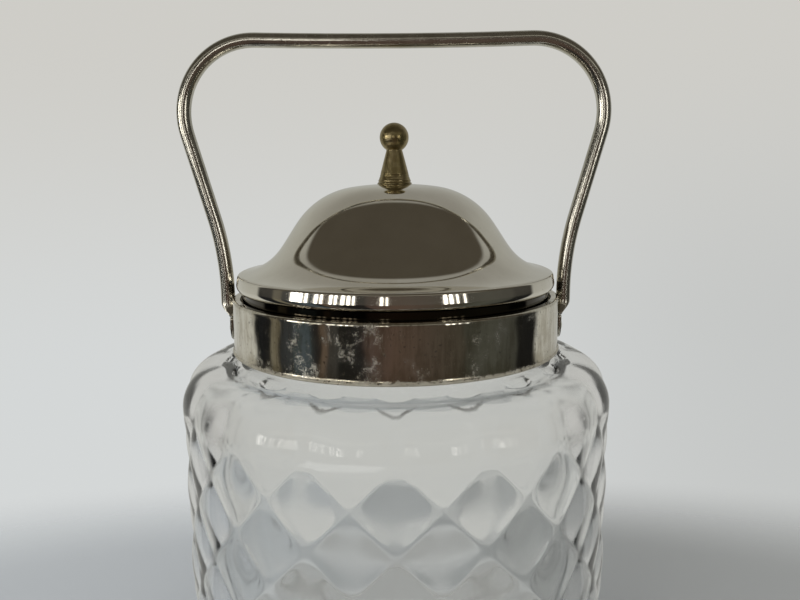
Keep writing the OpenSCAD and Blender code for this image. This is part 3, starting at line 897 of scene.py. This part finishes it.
def eye_plate(side):
    """The drilled end: rings from the hole's wall to the plate's edge. Its edge is a half circle
    below and square above."""
    t = np.arange(96) * TURN / 96
    top = COLLAR_TOP - FLAT_START - FLAT_L + 0.3 - PIVOT_Z
    tiny = 1e-6
    reach = np.minimum(
        EYE_R / np.maximum(np.abs(np.cos(t)), tiny), top / np.maximum(np.sin(t), tiny)
    )
    edge = np.where(np.sin(t) > 0, np.minimum(reach, math.hypot(EYE_R, top)), EYE_R)
    hole, soft = RIVET_R + 0.05, 0.15
    rings = [
        (hole, 0), (edge - soft, 0), (edge, soft),
        (edge, EYE_T - soft), (edge - soft, EYE_T), (hole, EYE_T),
    ]
    grid = np.array([[r * np.cos(t), r * np.sin(t), x + 0 * t] for r, x in rings])
    y, z, x = grid[:, 0], grid[:, 1], grid[:, 2]
    points = np.stack([side * (EYE_X + x), side * y, PIVOT_Z + z], -1).reshape(-1, 3)
    return points, ring_quads(len(rings), len(t), True)


def bail(finish):
    """A section carried along the bar's line from eye to eye. It is round, and towards each end
    it is pressed flat: its thickness falls and its width grows while its inner face stays in
    line. Each eye is a drilled plate."""
    line, heading = bail_line()
    line = np.vstack([line[::-1] * [-1, 1], line[1:]])
    heading = np.concatenate([TURN / 2 - heading[::-1] - math.pi, heading[1:]])
    press = smooth((COLLAR_TOP - FLAT_START - line[:, 1]) / FLAT_L)[:, None]
    around = 40
    half_x = BAR_R + (EYE_T / 2 - BAR_R) * press
    half_y = BAR_R + (EYE_R - BAR_R) * press
    across, wide = section(half_x, half_y, 2 + 6 * press, around)
    centre_x = line[:, :1] - np.sign(line[:, :1]) * (BAR_R - half_x)
    x = centre_x + across * -np.sin(heading)[:, None]
    z = line[:, 1:] + across * np.cos(heading)[:, None]
    bar = np.stack([x, wide, z], -1).reshape(-1, 3)
    faces = [
        ring_quads(len(line), around),
        fan(0, around, len(bar), False),
        fan(len(bar) - around, around, len(bar) + 1, True),
    ]
    points = np.vstack([bar, bar[:around].mean(0), bar[-around:].mean(0)])
    for side in (-1, 1):
        eye_points, eye_quads = eye_plate(side)
        faces.append(eye_quads + len(points))
        points = np.vstack([points, eye_points])
    make_piece("bail", points, faces, "handle", "handle", finish)


# ---- Room, floor and light ----
WALL = (0.62, 0.61, 0.575)
WALL_LOW = (0.66, 0.68, 0.68)
MIRRORED_WALL = (0.41, 0.41, 0.375)
MIRRORED_LOW = (0.53, 0.53, 0.495)
WALL_TOP = (0.27, 0.262, 0.235)
CEILING = (0.066, 0.057, 0.043)
SHELF = (0.50, 0.48, 0.42)
PANE_GLOW = (7.5, 7.3, 6.9)
PLAIN_LIGHT = (0.98, 0.99, 1.0, 1)
# Painted light: the glow of the paper under the glass
PAINTED_GLOW_UNDER_GLASS = (0.23, 0.23, 0.225)
TABLE_SIZE = 0.6
TABLE_BACK = 0.128
# Dark furniture from left to right: shares of the way from -110 to 110 degrees, with their colours
FURNITURE_SPAN = 110
FURNITURE = [
    (0.000, (0.010, 0.011, 0.012)), (0.076, (0.012, 0.012, 0.013)), (0.086, (0.17, 0.155, 0.115)),
    (0.115, (0.14, 0.125, 0.09)), (0.123, (0.03, 0.032, 0.034)), (0.168, (0.035, 0.038, 0.040)),
    (0.180, (0.062, 0.076, 0.085)), (0.232, (0.050, 0.066, 0.076)), (0.246, (0.018, 0.018, 0.018)),
    (0.264, (0.02, 0.018, 0.016)), (0.271, (0.11, 0.080, 0.058)), (0.286, (0.10, 0.075, 0.056)),
    (0.294, (0.045, 0.042, 0.038)), (0.320, (0.04, 0.038, 0.034)), (0.331, (0.012, 0.012, 0.011)),
    (0.404, (0.014, 0.013, 0.012)), (0.417, (0.070, 0.048, 0.040)), (0.500, (0.092, 0.062, 0.048)),
    (0.610, (0.070, 0.054, 0.042)), (0.700, (0.058, 0.050, 0.038)), (0.716, (0.046, 0.045, 0.035)),
    (0.800, (0.066, 0.067, 0.055)), (0.895, (0.050, 0.050, 0.042)), (0.912, (0.012, 0.012, 0.011)),
    (1.000, (0.010, 0.010, 0.010)),
]
# Window panes: middle and half width in degrees, and glow
WINDOWS = (
    (-74.5, 0.9, 0.7), (-71, 1.3, 1.0), (-67, 1.1, 1.0), (-62.5, 0.8, 0.7), (-55, 1.0, 0.5),
    (-51, 0.8, 0.5), (-44, 0.9, 0.6), (-40.5, 0.8, 0.5), (-35.5, 1.0, 0.7), (-31.5, 0.9, 0.6),
    (-28, 0.7, 0.4), (-9, 0.9, 0.5), (-5.5, 0.6, 0.4), (34, 1.0, 0.7), (38, 1.0, 0.7),
    (42.5, 0.7, 0.4), (48, 0.8, 0.3),
)


def room():
    """The world: a pale wall behind and beside the jar, a dark ceiling, and a dim room with
    windows in front. Diffuse light is plain and even. Mirrors see the room by direction; the
    camera and the glass see the pale wall."""
    world = bpy.data.worlds.new("room")
    bpy.context.scene.world = world
    paint = Paint(world)
    x, y, z = paint.axes(paint.node("ShaderNodeTexCoord").outputs["Generated"])
    azimuth = x.maths("ARCTAN2", y * -1) * DEGREES
    height = z.maths("ARCSINE") * DEGREES
    aside = azimuth.maths("ABSOLUTE")

    backdrop = paint.mix(height.step(-16, 12), WALL_LOW, WALL)
    shade = x.step(-0.05, 0.5) * 0.4 * (1 - height.step(-12, 12))
    backdrop = paint.mix(shade, backdrop, (0.42, 0.42, 0.40))

    wall = paint.mix(height.step(-15, 8), MIRRORED_LOW, MIRRORED_WALL)
    wall = paint.mix(height.step(10, 50), wall, WALL_TOP)
    wall = paint.mix(azimuth.step(60, 120) * 0.25, wall, (0.30, 0.30, 0.29))
    across = (azimuth + FURNITURE_SPAN) / (2 * FURNITURE_SPAN)
    dark = paint.node("ShaderNodeValToRGB", {"stops": FURNITURE}, {"Fac": across}).outputs[0]
    dark = paint.mix(height.step(-8, 4) * 0.5, dark, (0.085, 0.080, 0.070))
    dark = paint.mix(height.step(10, 35), dark, CEILING)
    dark = paint.mix(height.between(24, 30, 2) * (1 - aside.step(50, 75)), dark, SHELF)
    # The pale wall fills what lies within 71 degrees of straight behind; the rest is the dark room
    scene = paint.mix(1 - y.step(0.29, 0.37), wall, dark)
    panes = sum(azimuth.between(at - half, at + half, 0.35) * glow for at, half, glow in WINDOWS)
    scene = paint.mix(panes * height.between(-6, 14, 0.8), scene, PANE_GLOW)

    path = paint.node("ShaderNodeLightPath").outputs
    bent = Value(paint, path["Is Transmission Ray"])
    through = paint.mix(bent * (1 - aside.step(80, 110)) * 0.35, backdrop, (0.10, 0.10, 0.095))
    through = paint.mix(bent * 0.8, through, (0.53, 0.525, 0.50))
    # What lights a surface through the glass is the plain light too
    unlit = 1 - Value(paint, path["Diffuse Depth"]).maths("MINIMUM", 1)
    direct = Value(paint, path["Is Camera Ray"]).maths("MAXIMUM", bent) * unlit
    wide = paint.layers(direct, paint.glow(PLAIN_LIGHT, 0.85), paint.glow(through, 1.0))
    # A ray bent by clear glass counts as glossy as well
    turned_back = Value(paint, path["Is Glossy Ray"]) * (1 - bent)
    all_rays = paint.layers(turned_back, wide, paint.glow(scene, 1.0))
    paint.end(all_rays, "ShaderNodeOutputWorld")


def floor():
    """A pale table that fades out round the jar, as paper does where it sweeps up into the
    backdrop. Painted shade darkens the paper towards the right, and painted light glows on it under
    the glass."""
    mesh = bpy.data.meshes.new("table_top")
    corners = [(x * TABLE_SIZE, y * TABLE_SIZE, 0) for x, y in ((-1, -1), (1, -1), (1, 1), (-1, 1))]
    mesh.from_pydata(corners, [], [(0, 1, 2, 3)])
    table = add_object("table_top", mesh)
    finish, paint, place = new_finish("table_paper")
    x, y, _ = paint.axes(place)
    away = (x * x * 0.18 + y * y).maths("SQRT")
    # Painted light: the paper under the glass glows, standing in for light the glass gathers there
    painted_glow = paint.mix((x * x + y * y).maths("SQRT").step(0.070, 0.098), PAINTED_GLOW_UNDER_GLASS, (0, 0, 0))
    paint.end(paint.shader(
        # Painted shade: the paper's colour is darker towards the right, as of light from the left
        Base_Color=paint.mix(x.step(-0.12, 0.14), (0.47, 0.49, 0.50), (0.34, 0.345, 0.335)),
        Roughness=1.0,
        Specular_IOR_Level=0.0,
        Emission_Color=painted_glow,
        Emission_Strength=1.0,
        Alpha=1 - away.step(TABLE_BACK - 0.03, TABLE_BACK + 0.06),
    ))
    mesh.materials.append(finish)
    table.visible_glossy = False


def lamp(name, place, size, power, colour):
    """A soft square lamp aimed at the jar. Mirrors don't show it: they show the room."""
    light = bpy.data.lights.new(name, "AREA")
    light.size, light.energy, light.color = size, power, colour
    holder = add_object(name, light)
    holder.location = place
    back = np.array(place) - np.array([0, 0, 0.12])
    tilt = math.acos(back[2] / np.linalg.norm(back))
    holder.rotation_euler = (tilt, 0, math.atan2(back[0], -back[1]))
    holder.visible_glossy = False


def photo_camera():
    """The photograph's camera, from a fit to the rims: 710 pixels of focal length on an 800 pixel
    frame, a little above the lid and looking slightly down."""
    focal, width, sensor = 710.0, 800.0, 36.0
    pitch, roll = 0.1656, -0.008
    aside, back, above_collar = 1.585, 255.5, 39.73
    data = bpy.data.cameras.new("camera")
    data.sensor_width = sensor
    data.lens = sensor * focal / width
    data.clip_start, data.clip_end = 0.01, 50.0
    camera = add_object("camera", data)
    camera.location = (aside * MM, -back * MM, (COLLAR_TOP + above_collar) * MM)
    camera.rotation_mode = "QUATERNION"
    turn = Matrix.Rotation(math.pi / 2 - pitch, 3, "X") @ Matrix.Rotation(roll, 3, "Z")
    camera.rotation_quaternion = turn.to_quaternion()
    bpy.context.scene.camera = camera


lid_plate = lid_finish()
bar_plate = bar_finish()
plain_steel = steel_finish()

pressed_glass(glass_finish())
spun_collar(collar_finish())
plaster_bed(plaster_finish())
rivet("rivet_on_the_right", 1, bar_plate)
rivet("rivet_on_the_left", -1, bar_plate)
spun_lid(lid_plate)
lid_ring(lid_plate)
turned_finial(brass_finish())
bail(bar_plate)
for node in ("finial_screw", "finial_washer"):
    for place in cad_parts[node].material_slots:
        place.material = plain_steel

room()
floor()
lamp("window_lamp", (-0.9, -1.0, 0.9), 0.9, 5.0, (1.0, 0.99, 0.97))
photo_camera()
bpy.context.scene.view_settings.view_transform = "Standard"
